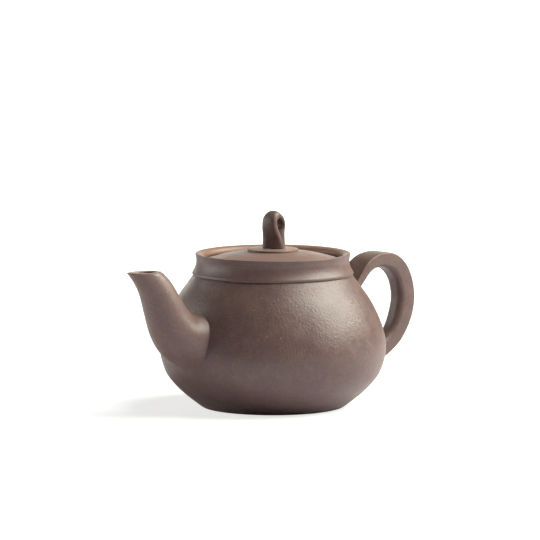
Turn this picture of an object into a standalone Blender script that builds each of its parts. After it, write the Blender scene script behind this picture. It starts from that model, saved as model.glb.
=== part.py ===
"""Small round-bodied clay teapot with a strap handle, a curved spout and a lift-off lid.

The pot stands on the XY plane with its turning axis on Z. The spout points to -X and the
handle to +X, so the XZ plane halves the pot. Every piece of clay that a potter forms and
lutes on is a solid of its own, and neighbouring pieces keep a slip joint of SLIP.
"""
import math

import bpy
import bmesh
from mathutils import Matrix, Vector

MM = 0.001
SLIP = 0.3 * MM             # width of a slip joint between two pieces of clay
SOFT_EDGE = 0.4 * MM        # usual rounding or chamfer of an edge
CUT_CLEARANCE = 10 * MM     # how far a drill or a cutter reaches past the clay
SEGMENTS = 48               # facets round a large turned piece
SMALL_SEGMENTS = 24         # facets round a small turned piece

# Turned pot, heights above the table
BASE_TOP = 3.2 * MM
SHOULDER_JOINT = 48.4 * MM
COLLAR_JOINT = 55.8 * MM
LIP_JOINT = 62.3 * MM
WALL = 3.0 * MM
NECK_BORE_RADIUS = 29.9 * MM
LIP_BORE_RADIUS = 30.7 * MM
BODY_OUTLINE = [            # radius and height in mm, from the foot up to the collar
    (30.1, 0.0), (38.4, 6.5), (44.3, 13.0), (46.9, 19.0), (47.9, 25.0), (46.9, 32.0),
    (44.4, 39.0), (40.7, 46.0), (36.4, 52.0), (33.8, 55.8),
]

# Ledge that carries the lid
SEAT_TOP = 60.0 * MM
SEAT_DEPTH = 2.2 * MM
SEAT_BORE_RADIUS = 26.3 * MM

# Lid, heights above the ledge
LID_RADIUS = 29.0 * MM
LID_EDGE_BOTTOM = SLIP
LID_EDGE_TOP = 2.1 * MM
LID_CROWN = 6.5 * MM
LID_THICKNESS = 2.4 * MM
LID_DOME_POWER = 2.2
LID_LAND_MARGIN = 0.6 * MM  # flat under the lid beyond the flange
LID_HOLLOW_RUN = 3 * MM     # width of the slope from that flat up to the hollow
FLANGE_OUTER_RADIUS = 25.6 * MM
FLANGE_INNER_RADIUS = 23.2 * MM
FLANGE_DEPTH = 5.5 * MM
FLANGE_OUTER_TAPER = 0.3 * MM
FLANGE_INNER_TAPER = 0.6 * MM
AIR_HOLE_RADIUS = 1.0 * MM
AIR_HOLE_PLACE = (10.3 * MM, 12.3 * MM)

# Knob and the disc under it
KNOB_SEAT_RADIUS = 10.7 * MM
KNOB_SEAT_THICKNESS = 0.65 * MM
KNOB_SEAT_BEVEL = 0.15 * MM
KNOB_HALF_WIDTH = 4.2 * MM
KNOB_HALF_DEPTH = 3.7 * MM
KNOB_TURN = 8.0             # degrees, the lid sits a little turned in its seat
KNOB_TOP = 82.9 * MM

# Spout: centre x, centre z and radius of each section, in mm
SPOUT_SECTIONS = [
    (-41.0, 30.2, 12.4), (-49.8, 33.4, 11.1), (-55.4, 38.7, 9.7), (-59.7, 46.6, 8.4),
    (-63.8, 54.5, 7.2), (-69.4, 61.0, 5.6), (-77.0, 68.0, 4.4),
]
SPOUT_ROOT_WIDENING = 1.04
SPOUT_ROOT_SQUARENESS = 0.75  # below 1 the root's section is fuller than an ellipse
SPOUT_ROOT_SHARE = 0.25     # share of the spout's length over which the fullness fades
SPOUT_WALL = 2.3 * MM
SPOUT_MOUTH_HEIGHT = 62.0 * MM
SPOUT_OPENING_RADIUS = 8.3 * MM
SPOUT_ROOT_HEIGHT = 31.0 * MM
MOUTH_BLOCK_SIZE = 40 * MM
MOUTH_BLOCK_X = -75 * MM

# Domed strainer behind the spout
STRAINER_RADIUS = 8.0 * MM
STRAINER_WALL = 1.3 * MM
STRAINER_COLLAR = 3.2 * MM
STRAINER_X = -46.2 * MM
STRAINER_HOLE_RADIUS = 0.85 * MM
STRAINER_DRILL_MARGIN = 1.5 * MM
STRAINER_HOLE_RINGS = [(0.0, 1), (28.0, 6), (56.0, 12)]   # angle from the pole, hole count

# Handle: x and z of the outer line, thickness in its plane and width across, in mm
HANDLE_SECTIONS = [
    (35.5, 41.5, 4.4, 12.8), (42.5, 51.2, 4.5, 12.6), (49.6, 58.8, 5.6, 12.0),
    (58.5, 61.4, 6.6, 10.8), (67.0, 59.4, 7.3, 9.6), (73.6, 52.8, 7.7, 9.0),
    (76.5, 42.5, 7.8, 8.6), (75.0, 32.8, 7.8, 8.3), (69.5, 23.2, 7.0, 8.2),
    (61.5, 17.2, 6.6, 8.2), (52.0, 13.0, 6.4, 8.2), (43.0, 9.6, 6.4, 8.2),
]
HANDLE_EDGE = 0.5 * MM      # chamfer along the handle's crisp outer edges

CLAY = (0.135, 0.078, 0.066, 1.0)
CLAY_ROUGHNESS = 0.55


def clear_scene():
    for item in list(bpy.data.objects):
        bpy.data.objects.remove(item, do_unlink=True)


def new_collection(name):
    collection = bpy.data.collections.new(name)
    bpy.context.scene.collection.children.link(collection)
    return collection


def clay_material(name, shade=1.0):
    """Unglazed fired clay, a little lighter or darker than its neighbours."""
    material = bpy.data.materials.new(name + "_clay")
    material.use_nodes = True
    shader = material.node_tree.nodes["Principled BSDF"]
    colour = [channel * shade for channel in CLAY[:3]] + [1.0]
    shader.inputs["Base Color"].default_value = colour
    shader.inputs["Roughness"].default_value = CLAY_ROUGHNESS
    shader.inputs["Metallic"].default_value = 0.0
    return material


def add_object(name, mesh, collection, parent=None, location=(0, 0, 0), shade=1.0):
    piece = bpy.data.objects.new(name, mesh)
    collection.objects.link(piece)
    piece.parent = parent
    piece.location = location
    mesh.materials.append(clay_material(name, shade))
    return piece


def as_cutter(cutter):
    cutter.hide_render = True
    cutter.display_type = "WIRE"
    return cutter


def smooth_line(points, steps, closed=False):
    """Points along a Catmull-Rom curve that passes through the given points."""
    count = len(points)
    spans = count if closed else count - 1
    vectors = [Vector(point) for point in points]

    def control(index):
        if closed:
            return vectors[index % count]
        if index < 0:
            return vectors[0] * 2 - vectors[1]
        if index >= count:
            return vectors[-1] * 2 - vectors[-2]
        return vectors[index]

    line = []
    for span in range(spans):
        before, start, end, after = (control(span + offset) for offset in (-1, 0, 1, 2))
        for step in range(steps):
            t = step / steps
            line.append(0.5 * (
                2 * start + (end - before) * t
                + (2 * before - 5 * start + 4 * end - after) * t ** 2
                + (3 * start - before - 3 * end + after) * t ** 3))
    if not closed:
        line.append(vectors[-1])
    return line


def cut_line(line, low, high):
    """The stretch of a rising profile between two heights, with a point on each."""
    def at(height):
        for lower, upper in zip(line, line[1:]):
            if lower[1] <= height <= upper[1]:
                part = (height - lower[1]) / (upper[1] - lower[1])
                return Vector(lower).lerp(Vector(upper), part)
        raise ValueError("height outside the profile")

    inside = [point for point in line if low + SOFT_EDGE < point[1] < high - SOFT_EDGE]
    return [at(low)] + inside + [at(high)]


def inset_line(line, thickness):
    """The profile moved towards the axis along its own normals."""
    moved = []
    for index, point in enumerate(line):
        ahead = line[min(index + 1, len(line) - 1)]
        behind = line[max(index - 1, 0)]
        run = (ahead - behind).normalized()
        moved.append(point + Vector((-run[1], run[0])) * thickness)
    return moved


def turned(name, profile, collection, parent, location=(0, 0, 0), segments=SEGMENTS, shade=1.0):
    """A profile spun round Z. It runs down the outer side and, if closed, up the inner one."""
    mesh = bpy.data.meshes.new(name)
    on_axis = abs(profile[0][0]) < SLIP and abs(profile[-1][0]) < SLIP
    count = len(profile)
    edges = [(index, index + 1) for index in range(count - 1)]
    if not on_axis:
        edges.append((count - 1, 0))
    mesh.from_pydata([(radius, 0.0, height) for radius, height in profile], edges, [])
    piece = add_object(name, mesh, collection, parent, location, shade)
    screw = piece.modifiers.new("spin", "SCREW")
    screw.axis = "Z"
    screw.angle = math.tau
    screw.steps = segments
    screw.render_steps = segments
    screw.use_merge_vertices = True
    screw.merge_threshold = 0.01 * MM
    screw.use_smooth_shade = True
    return piece


def lofted(name, rings, collection, parent=None, looped=False, shade=1.0):
    """Skin over rings of equal point count, with flat ends or joined into a loop."""
    mesh = bpy.data.meshes.new(name)
    shell = bmesh.new()
    rows = [[shell.verts.new(point) for point in ring] for ring in rings]
    pairs = list(zip(rows, rows[1:]))
    if looped:
        pairs.append((rows[-1], rows[0]))
    for near, far in pairs:
        for index in range(len(near)):
            following = (index + 1) % len(near)
            shell.faces.new((near[index], near[following], far[following], far[index]))
    if not looped:
        shell.faces.new(rows[0])
        shell.faces.new(rows[-1])
    bmesh.ops.recalc_face_normals(shell, faces=shell.faces)
    shell.to_mesh(mesh)
    shell.free()
    mesh.shade_smooth()
    mesh.set_sharp_from_angle(angle=math.radians(40))
    return add_object(name, mesh, collection, parent, shade=shade)


def cut_away(piece, cutter):
    boolean = piece.modifiers.new("cut_" + cutter.name, "BOOLEAN")
    boolean.operation = "DIFFERENCE"
    boolean.solver = "EXACT"
    boolean.object = cutter


def rod_cutter(name, radius, start, end, sides, collection):
    """A cylinder between two points, used as a drill."""
    mesh = bpy.data.meshes.new(name)
    drill = bmesh.new()
    run = Vector(end) - Vector(start)
    turn = run.to_track_quat("Z", "Y").to_matrix().to_4x4()
    place = Matrix.Translation((Vector(start) + Vector(end)) / 2) @ turn
    bmesh.ops.create_cone(
        drill, cap_ends=True, segments=sides, radius1=radius, radius2=radius,
        depth=run.length, matrix=place)
    drill.to_mesh(mesh)
    drill.free()
    return as_cutter(add_object(name, mesh, collection))


def body_line():
    return [point * MM for point in smooth_line(BODY_OUTLINE, 3)]


def make_base_disc(pots, pot):
    outer = cut_line(body_line(), 0.0, BASE_TOP)
    profile = [(0.0, BASE_TOP)] + [tuple(point) for point in reversed(outer[1:])]
    profile += [(outer[0][0] + SOFT_EDGE, SOFT_EDGE), (outer[0][0] - SOFT_EDGE, 0.0), (0.0, 0.0)]
    turned("base_disc", profile, pots, pot, shade=0.9)


def wall_ring(name, low, high, pots, pot, shade):
    outer = cut_line(body_line(), low, high)
    inner = inset_line(outer, WALL)
    inner[0][1] = low
    inner[-1][1] = high
    profile = [tuple(point) for point in reversed(outer)] + [tuple(point) for point in inner]
    return turned(name, profile, pots, pot, shade=shade)


def make_body_wall(pots, pot, channel):
    wall = wall_ring("body_wall", BASE_TOP + SLIP, SHOULDER_JOINT, pots, pot, 1.0)
    cut_away(wall, channel)


def make_shoulder_ring(pots, pot):
    wall_ring("shoulder_ring", SHOULDER_JOINT + SLIP, COLLAR_JOINT, pots, pot, 1.05)


def make_neck_collar(pots, pot):
    outer = [(32.3, 62.3), (32.35, 60.9), (32.85, 59.3), (33.5, 57.9), (34.1, 56.6),
             (34.05, 56.1)]
    profile = [(radius * MM, height * MM) for radius, height in outer]
    profile += [(NECK_BORE_RADIUS, COLLAR_JOINT + SLIP), (NECK_BORE_RADIUS, LIP_JOINT)]
    turned("neck_collar", profile, pots, pot, shade=0.95)


def make_rim_lip(pots, pot):
    outer = [(31.5, 65.2), (32.1, 65.15), (32.6, 64.85), (32.75, 64.4), (32.5, 63.5),
             (32.35, 62.6)]
    profile = [(radius * MM, height * MM) for radius, height in outer]
    profile += [(NECK_BORE_RADIUS, LIP_JOINT + SLIP), (30.2 * MM, 63.6 * MM)]
    profile += [(LIP_BORE_RADIUS, 64.6 * MM)]
    turned("rim_lip", profile, pots, pot, shade=1.1)


def make_lid_seat_ring(pots, pot):
    outer_radius = NECK_BORE_RADIUS - SLIP
    profile = [(outer_radius, SEAT_DEPTH), (outer_radius, 0.0), (SEAT_BORE_RADIUS, SOFT_EDGE),
               (SEAT_BORE_RADIUS, SEAT_DEPTH)]
    turned("lid_seat_ring", profile, pots, pot, (0, 0, SEAT_TOP - SEAT_DEPTH), shade=1.0)


def signed_power(value, power):
    return math.copysign(abs(value) ** power, value)


def spout_rings(inset, sides, steps):
    """Rings of the spout's outside, or of its channel when inset is the wall's thickness."""
    line = smooth_line(SPOUT_SECTIONS, steps)
    rings = []
    for index, (x, z, radius) in enumerate(line):
        ahead = line[min(index + 1, len(line) - 1)]
        behind = line[max(index - 1, 0)]
        along = Vector((ahead[0] - behind[0], 0, ahead[1] - behind[1])).normalized()
        across = Vector((-along[2], 0, along[0]))
        high = radius * MM - inset
        progress = index / (len(line) - 1)
        wide = radius * MM * (1 + (SPOUT_ROOT_WIDENING - 1) * (1 - progress)) - inset
        centre = Vector((x * MM, 0, z * MM))
        fading = min(progress / SPOUT_ROOT_SHARE, 1)
        power = SPOUT_ROOT_SQUARENESS + (1 - SPOUT_ROOT_SQUARENESS) * fading
        ring = []
        for side in range(sides):
            angle = math.tau * side / sides
            ring.append(centre + across * high * signed_power(math.cos(angle), power)
                        + Vector((0, wide * signed_power(math.sin(angle), power), 0)))
        rings.append(ring)
    return rings


def make_channel_cutter(cutters):
    """The spout's bore: a round opening in the wall that narrows towards the mouth."""
    rings = spout_rings(SPOUT_WALL, SMALL_SEGMENTS, 2)[4:]
    start = STRAINER_X + CUT_CLEARANCE
    entry = []
    for x in (start, STRAINER_X - 2 * MM):
        entry.append([
            Vector((x, SPOUT_OPENING_RADIUS * math.sin(math.tau * side / SMALL_SEGMENTS),
                    SPOUT_ROOT_HEIGHT
                    - SPOUT_OPENING_RADIUS * math.cos(math.tau * side / SMALL_SEGMENTS)))
            for side in range(SMALL_SEGMENTS)])
    return as_cutter(lofted("spout_channel", entry + rings, cutters))


def make_body_core_cutter(cutters):
    """The body's outside, one slip joint larger, which trims the spout and the handle."""
    outer = cut_line(body_line(), 0.0, COLLAR_JOINT)
    grown = inset_line(outer, -SLIP)
    profile = [(0.0, COLLAR_JOINT)] + [tuple(point) for point in reversed(grown)]
    profile[-1] = (profile[-1][0], 0.0)
    profile[1] = (profile[1][0], COLLAR_JOINT)
    return as_cutter(turned("body_core", profile + [(0.0, 0.0)], cutters, None))


def make_spout(pots, pot, channel, core, cutters):
    spout = lofted("spout", spout_rings(0.0, SMALL_SEGMENTS, 2), pots, pot)
    cut_away(spout, core)
    cut_away(spout, channel)
    mesh = bpy.data.meshes.new("mouth_plane")
    block = bmesh.new()
    place = Matrix.Translation((MOUTH_BLOCK_X, 0, SPOUT_MOUTH_HEIGHT + MOUTH_BLOCK_SIZE / 2))
    bmesh.ops.create_cube(block, size=MOUTH_BLOCK_SIZE, matrix=place)
    block.to_mesh(mesh)
    block.free()
    cut_away(spout, as_cutter(add_object("mouth_plane", mesh, cutters)))


def make_strainer(pots, pot, cutters):
    """A thin dome that bulges into the pot and is drilled with small holes."""
    outer, inner, collar = STRAINER_RADIUS, STRAINER_RADIUS - STRAINER_WALL, STRAINER_COLLAR
    steps = 6
    dome = [(outer * math.sin(math.pi / 2 * step / steps),
             collar + outer * math.cos(math.pi / 2 * step / steps)) for step in range(steps + 1)]
    hollow = [(inner * math.cos(math.pi / 2 * step / steps),
               collar + inner * math.sin(math.pi / 2 * step / steps))
              for step in range(steps + 1)]
    profile = dome + [(outer, 0.0), (inner, 0.0)] + hollow
    profile[0] = (0.0, collar + outer)
    profile[-1] = (0.0, collar + inner)
    strainer = turned("strainer", profile, pots, pot, (STRAINER_X, 0, SPOUT_ROOT_HEIGHT),
                      SMALL_SEGMENTS)
    strainer.rotation_euler = (0, math.pi / 2, 0)
    centre = Vector((STRAINER_X + collar, 0, SPOUT_ROOT_HEIGHT))
    for tilt, count in STRAINER_HOLE_RINGS:
        for number in range(count):
            turn = math.tau * (number + 0.5 * (count == 12)) / count
            lean = math.radians(tilt)
            way = Vector((math.cos(lean), math.sin(lean) * math.cos(turn),
                          math.sin(lean) * math.sin(turn)))
            drill = rod_cutter(f"strainer_drill_{int(tilt)}_{number}", STRAINER_HOLE_RADIUS,
                               centre + way * (inner - STRAINER_DRILL_MARGIN),
                               centre + way * (outer + STRAINER_DRILL_MARGIN), 8, cutters)
            cut_away(strainer, drill)


def strap_section(thickness, width, edge, rounding, arc_steps):
    """Outline of the strap: flat outer face, crisp outer edges and a rounded inner side."""
    half = width / 2
    outline = [(0.0, half - edge), (-edge, half)]
    for step in range(arc_steps + 1):
        angle = math.pi / 2 * step / arc_steps
        outline.append((-thickness + rounding * (1 - math.sin(angle)),
                        half - rounding * (1 - math.cos(angle))))
    return outline + [(depth, -side) for depth, side in reversed(outline)]


def make_handle(pots, pot, core):
    line = smooth_line(HANDLE_SECTIONS, 3)
    rings = []
    for index, (x, z, thickness, width) in enumerate(line):
        ahead = line[min(index + 1, len(line) - 1)]
        behind = line[max(index - 1, 0)]
        along = Vector((ahead[0] - behind[0], 0, ahead[1] - behind[1])).normalized()
        outwards = Vector((-along[2], 0, along[0]))
        rounding = min(0.42 * thickness, 0.3 * width) * MM
        section = strap_section(thickness * MM, width * MM, HANDLE_EDGE, rounding, 4)
        centre = Vector((x * MM, 0, z * MM))
        rings.append([centre + outwards * depth + Vector((0, side, 0))
                      for depth, side in section])
    handle = lofted("handle", rings, pots, pot)
    cut_away(handle, core)


def lid_dome(radius):
    rise = LID_CROWN - LID_EDGE_TOP
    return LID_EDGE_TOP + rise * (1 - (radius / LID_RADIUS) ** LID_DOME_POWER)


def make_lid_plate(pots, lid, cutters):
    flat_radius = KNOB_SEAT_RADIUS
    flat_height = lid_dome(flat_radius)
    steps = 6
    radii = [flat_radius + (LID_RADIUS - SOFT_EDGE - flat_radius) * step / steps
             for step in range(steps + 1)]
    top = [(0.0, flat_height)] + [(radius, lid_dome(radius)) for radius in radii]
    edge = [(LID_RADIUS, LID_EDGE_TOP - SOFT_EDGE), (LID_RADIUS, LID_EDGE_BOTTOM)]
    land = FLANGE_INNER_RADIUS - LID_LAND_MARGIN
    hollow = land - LID_HOLLOW_RUN
    under = [(land, LID_EDGE_BOTTOM), (hollow, lid_dome(hollow) - LID_THICKNESS),
             (flat_radius, flat_height - LID_THICKNESS), (0.0, flat_height - LID_THICKNESS)]
    plate = turned("lid_plate", top + edge + under, pots, lid, shade=1.08)
    x, y = AIR_HOLE_PLACE
    drill = rod_cutter("air_hole_drill", AIR_HOLE_RADIUS, (x, y, SEAT_TOP - CUT_CLEARANCE),
                       (x, y, SEAT_TOP + CUT_CLEARANCE), 12, cutters)
    cut_away(plate, drill)


def make_lid_flange(pots, lid):
    top = LID_EDGE_BOTTOM - SLIP
    bottom = top - FLANGE_DEPTH
    profile = [(FLANGE_OUTER_RADIUS, top), (FLANGE_OUTER_RADIUS - FLANGE_OUTER_TAPER, bottom),
               (FLANGE_INNER_RADIUS + FLANGE_INNER_TAPER, bottom), (FLANGE_INNER_RADIUS, top)]
    turned("lid_flange", profile, pots, lid, shade=1.0)


def make_knob_seat(pots, lid):
    bottom = lid_dome(KNOB_SEAT_RADIUS) + SLIP
    bevel = KNOB_SEAT_BEVEL
    profile = [(0.0, KNOB_SEAT_THICKNESS), (KNOB_SEAT_RADIUS - bevel, KNOB_SEAT_THICKNESS),
               (KNOB_SEAT_RADIUS, KNOB_SEAT_THICKNESS - bevel), (KNOB_SEAT_RADIUS, bevel),
               (KNOB_SEAT_RADIUS - bevel, 0.0), (0.0, 0.0)]
    turned("knob_seat", profile, pots, lid, (0, 0, bottom), shade=1.1)


def make_knob(pots, lid):
    """A strap bent into a loop. Each row is a section through it, from the eye outwards."""
    foot = lid_dome(KNOB_SEAT_RADIUS) + 2 * SLIP + KNOB_SEAT_THICKNESS
    height = KNOB_TOP - SEAT_TOP - foot
    half = [            # eye side and height, outer side and height, depth, all as shares
        (0.00, 0.41, 0.00, 0.00, 0.98), (0.10, 0.42, 0.70, 0.00, 1.00),
        (0.25, 0.45, 1.03, 0.02, 0.99), (0.38, 0.50, 0.92, 0.25, 0.95),
        (0.44, 0.57, 0.95, 0.50, 0.96), (0.42, 0.65, 0.99, 0.72, 0.95),
        (0.26, 0.73, 0.72, 0.92, 0.90), (0.00, 0.75, 0.00, 1.00, 0.86),
    ]
    mirrored = [(-eye, low, -side, high, deep) for eye, low, side, high, deep in half[-2:0:-1]]
    line = smooth_line(half + mirrored, 3, closed=True)
    sides = 16
    rings = []
    for eye, eye_height, side, side_height, deep in line:
        inner = Vector((eye * KNOB_HALF_WIDTH, 0, eye_height * height))
        outer = Vector((side * KNOB_HALF_WIDTH, 0, min(max(side_height, 0), 1) * height))
        power = 0.35 + 0.55 * min(max(side_height, 0), 1)
        ring = []
        for number in range(sides):
            angle = math.tau * (number + 0.5) / sides
            reach = signed_power(math.cos(angle), power)
            aside = signed_power(math.sin(angle), power) * deep * KNOB_HALF_DEPTH
            ring.append(inner.lerp(outer, 0.5 + 0.5 * reach) + Vector((0, aside, 0)))
        rings.append(ring)
    knob = lofted("knob", rings, pots, lid, looped=True)
    knob.location = (0, 0, foot)
    knob.rotation_euler = (0, 0, math.radians(KNOB_TURN))


def main():
    clear_scene()
    pots = new_collection("clay_teapot")
    cutters = new_collection("cutters")
    pot = bpy.data.objects.new("pot_axis", None)
    lid = bpy.data.objects.new("lid_axis", None)
    for empty in (pot, lid):
        pots.objects.link(empty)
    lid.location = (0, 0, SEAT_TOP)

    channel = make_channel_cutter(cutters)
    core = make_body_core_cutter(cutters)
    make_base_disc(pots, pot)
    make_body_wall(pots, pot, channel)
    make_shoulder_ring(pots, pot)
    make_neck_collar(pots, pot)
    make_rim_lip(pots, pot)
    make_lid_seat_ring(pots, pot)
    make_spout(pots, pot, channel, core, cutters)
    make_strainer(pots, pot, cutters)
    make_handle(pots, pot, core)
    make_lid_plate(pots, lid, cutters)
    make_lid_flange(pots, lid)
    make_knob_seat(pots, lid)
    make_knob(pots, lid)


main()
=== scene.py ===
"""Unglazed clay teapot with a curved spout, a strap handle and a lift-off lid.

Run as a script in Blender 4.5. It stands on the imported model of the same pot, keeps every
position that the model gives, and puts a finished piece of clay in place of each solid.
"""

import math

import bpy
import bmesh
from mathutils import Matrix, Vector, noise


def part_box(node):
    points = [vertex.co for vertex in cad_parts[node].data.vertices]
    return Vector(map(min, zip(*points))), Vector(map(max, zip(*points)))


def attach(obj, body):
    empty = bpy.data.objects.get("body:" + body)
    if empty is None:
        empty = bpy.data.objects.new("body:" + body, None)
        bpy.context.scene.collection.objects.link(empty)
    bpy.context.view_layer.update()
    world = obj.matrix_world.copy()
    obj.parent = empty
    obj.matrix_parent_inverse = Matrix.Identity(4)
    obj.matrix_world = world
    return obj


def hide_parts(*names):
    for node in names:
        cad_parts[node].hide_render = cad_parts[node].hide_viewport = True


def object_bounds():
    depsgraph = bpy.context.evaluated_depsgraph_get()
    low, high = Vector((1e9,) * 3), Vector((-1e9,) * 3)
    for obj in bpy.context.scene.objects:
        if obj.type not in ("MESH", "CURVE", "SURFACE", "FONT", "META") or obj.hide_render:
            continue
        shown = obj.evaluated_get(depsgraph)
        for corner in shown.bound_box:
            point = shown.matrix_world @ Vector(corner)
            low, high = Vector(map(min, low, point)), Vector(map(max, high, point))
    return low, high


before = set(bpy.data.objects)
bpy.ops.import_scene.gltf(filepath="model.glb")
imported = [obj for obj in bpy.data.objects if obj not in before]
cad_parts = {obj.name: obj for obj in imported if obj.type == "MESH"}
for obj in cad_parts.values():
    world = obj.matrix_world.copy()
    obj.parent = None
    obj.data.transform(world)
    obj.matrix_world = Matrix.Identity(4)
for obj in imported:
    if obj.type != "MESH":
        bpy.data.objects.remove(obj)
CAD_BOX = [list(corner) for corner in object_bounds()]

bl_info = {
    "name": "Clay teapot",
    "version": (1, 0, 0),
    "blender": (4, 5, 0),
    "location": "View3D > Sidebar > Teapot",
    "description": "Makes a thrown and luted clay teapot, piece by piece",
    "category": "Add Mesh",
}

MM = 0.001

# Pot, radius and height in mm, from the foot up to the groove under the collar
BELLY_OUTLINE = [
    (30.1, 0.0), (38.4, 6.5), (44.3, 13.0), (46.9, 19.0), (47.9, 25.0), (46.9, 32.0),
    (44.4, 39.0), (40.7, 46.0), (36.4, 52.0), (33.8, 55.8),
]
FOOT_JOINT = 3.35           # heights of the joints between the turned pieces, in mm
SHOULDER_JOINT = 48.55
COLLAR_JOINT = 55.95
LIP_JOINT = 62.45
NECK_BORE = 29.9            # radii inside the neck and inside the lid's ledge, in mm
LEDGE_BORE = 26.3
LUTED_DEPTH = 1.0           # how deep the spout and the handle reach into the wall, in mm
FOOT_ROUNDING = (0.35, 0.45)    # the wall starts this far out and up from the foot's edge
FOOT_UNDERSIDE = [
    (30.05, 0.12), (29.6, 0.0), (27.0, 0.0), (26.0, 0.15), (24.0, 0.5), (0.0, 0.6),
]
COLLAR_GROOVE = [(34.14, 55.35), (33.98, 55.55), (33.8, 55.75), (33.68, COLLAR_JOINT)]
COLLAR_OUTLINE = [
    (33.68, 55.95), (33.78, 56.1), (33.95, 56.3), (34.07, 56.6), (34.08, 56.95), (33.93, 57.35),
    (33.5, 58.05), (32.87, 59.35), (32.42, 60.9), (32.34, 61.8), (32.33, 62.45),
]
LIP_OUTLINE = [
    (32.33, 62.45), (32.36, 62.9), (32.45, 63.5), (32.58, 64.1), (32.72, 64.6), (32.75, 64.92),
    (32.55, 65.12), (32.2, 65.2), (31.4, 65.08), (30.6, 64.78), (29.95, 64.3), (29.55, 63.6),
    (29.42, 62.9), (29.5, 62.5), (29.9, 62.45),
]

# Spout: centre x, centre z and radius of each section, in mm, from the root to past the mouth
SPOUT_SECTIONS = [
    (-41.0, 30.2, 12.4), (-49.8, 33.4, 11.1), (-55.4, 38.7, 9.7), (-59.7, 46.6, 8.4),
    (-63.8, 54.5, 7.2), (-69.4, 61.0, 5.6), (-77.0, 68.0, 4.4),
]

# Handle: x and z of the outer face, thickness and width, in mm
HANDLE_SECTIONS = [
    (35.5, 41.5, 4.4, 12.8), (42.5, 51.2, 4.5, 12.6), (49.6, 58.8, 5.6, 12.0),
    (58.5, 61.4, 6.6, 10.8), (67.0, 59.4, 7.3, 9.6), (73.6, 52.8, 7.7, 9.0),
    (76.5, 42.5, 7.8, 8.6), (75.0, 32.8, 7.8, 8.3), (69.5, 23.2, 7.0, 8.2),
    (61.5, 17.2, 6.6, 8.2), (52.0, 13.0, 6.4, 8.2), (43.0, 9.6, 6.4, 8.2),
]

# Knob strap: across, height above its disc, thickness in its plane, half width, roundness and
# twist in degrees. It starts at the broad twisted foot, goes up, over the top and down, and
# ends pressed on to the foot.
KNOB_SECTIONS = [
    (0.3, -0.5, 5.3, 4.6, 0.75, 32), (0.25, 0.6, 5.0, 4.5, 0.75, 31),
    (-0.1, 2.2, 4.5, 4.3, 0.75, 28), (-0.6, 4.5, 3.9, 4.0, 0.75, 20),
    (-1.35, 7.0, 3.7, 3.75, 0.7, 12), (-1.9, 9.3, 3.6, 3.65, 0.7, 4),
    (-1.7, 12.3, 3.7, 3.5, 0.8, 0), (0.5, 13.8, 4.0, 3.3, 0.9, 0),
    (2.9, 12.4, 2.9, 3.3, 0.85, 0), (3.95, 10.2, 2.2, 3.3, 0.75, 0),
    (3.75, 8.3, 2.7, 3.3, 0.75, 0), (2.95, 6.4, 4.2, 3.3, 0.75, 0),
    (3.05, 3.4, 3.9, 3.3, 0.75, 0), (3.35, 1.2, 3.4, 3.3, 0.75, 0),
    (3.55, -0.5, 3.4, 3.4, 0.75, 0),
]

# Sizes of the clay's patterns, in mm
CLOUD_SIZE = 24
MOTTLE_SIZE = 4.2
SAND_SIZE = 0.75
FLECK_SPACING = 4.5
PINHOLE_SPACING = 2.6
GRIT_SPACING = 1.35
PADDLE_SIZE = 5.5
CRINKLE_SIZE = 1.2
RIB_LINE_SIZE = 1.1
WAVE_SIZE = 14              # slow unevenness that the hand leaves in the shape

# Depths of the clay's relief, in mm
PADDLE_DEPTH = 0.05
PINHOLE_DEPTH = 0.03
NOISE_GAIN = 4              # a noise swings over about a quarter of its range
GRIT_GAIN = 1.5             # grit stands this much prouder than the crinkles


# ---------------------------------------------------------------- colours and materials

def linear(hex_colour):
    """An sRGB hex colour as the linear one that Blender's sockets take."""
    channels = [int(hex_colour[place:place + 2], 16) / 255 for place in (1, 3, 5)]
    return tuple(value / 12.92 if value <= 0.04045 else ((value + 0.055) / 1.055) ** 2.4
                 for value in channels) + (1.0,)


def add_node(tree, kind, settings=None, links=None):
    """Adds a node. Settings in lower case are its own, the others and numbers are sockets."""
    node = tree.nodes.new(kind)
    for key, value in (settings or {}).items():
        if isinstance(key, str) and key == key.lower():
            setattr(node, key, value)
        else:
            node.inputs[key].default_value = value
    for key, source in (links or {}).items():
        tree.links.new(source, node.inputs[key])
    return node


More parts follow.
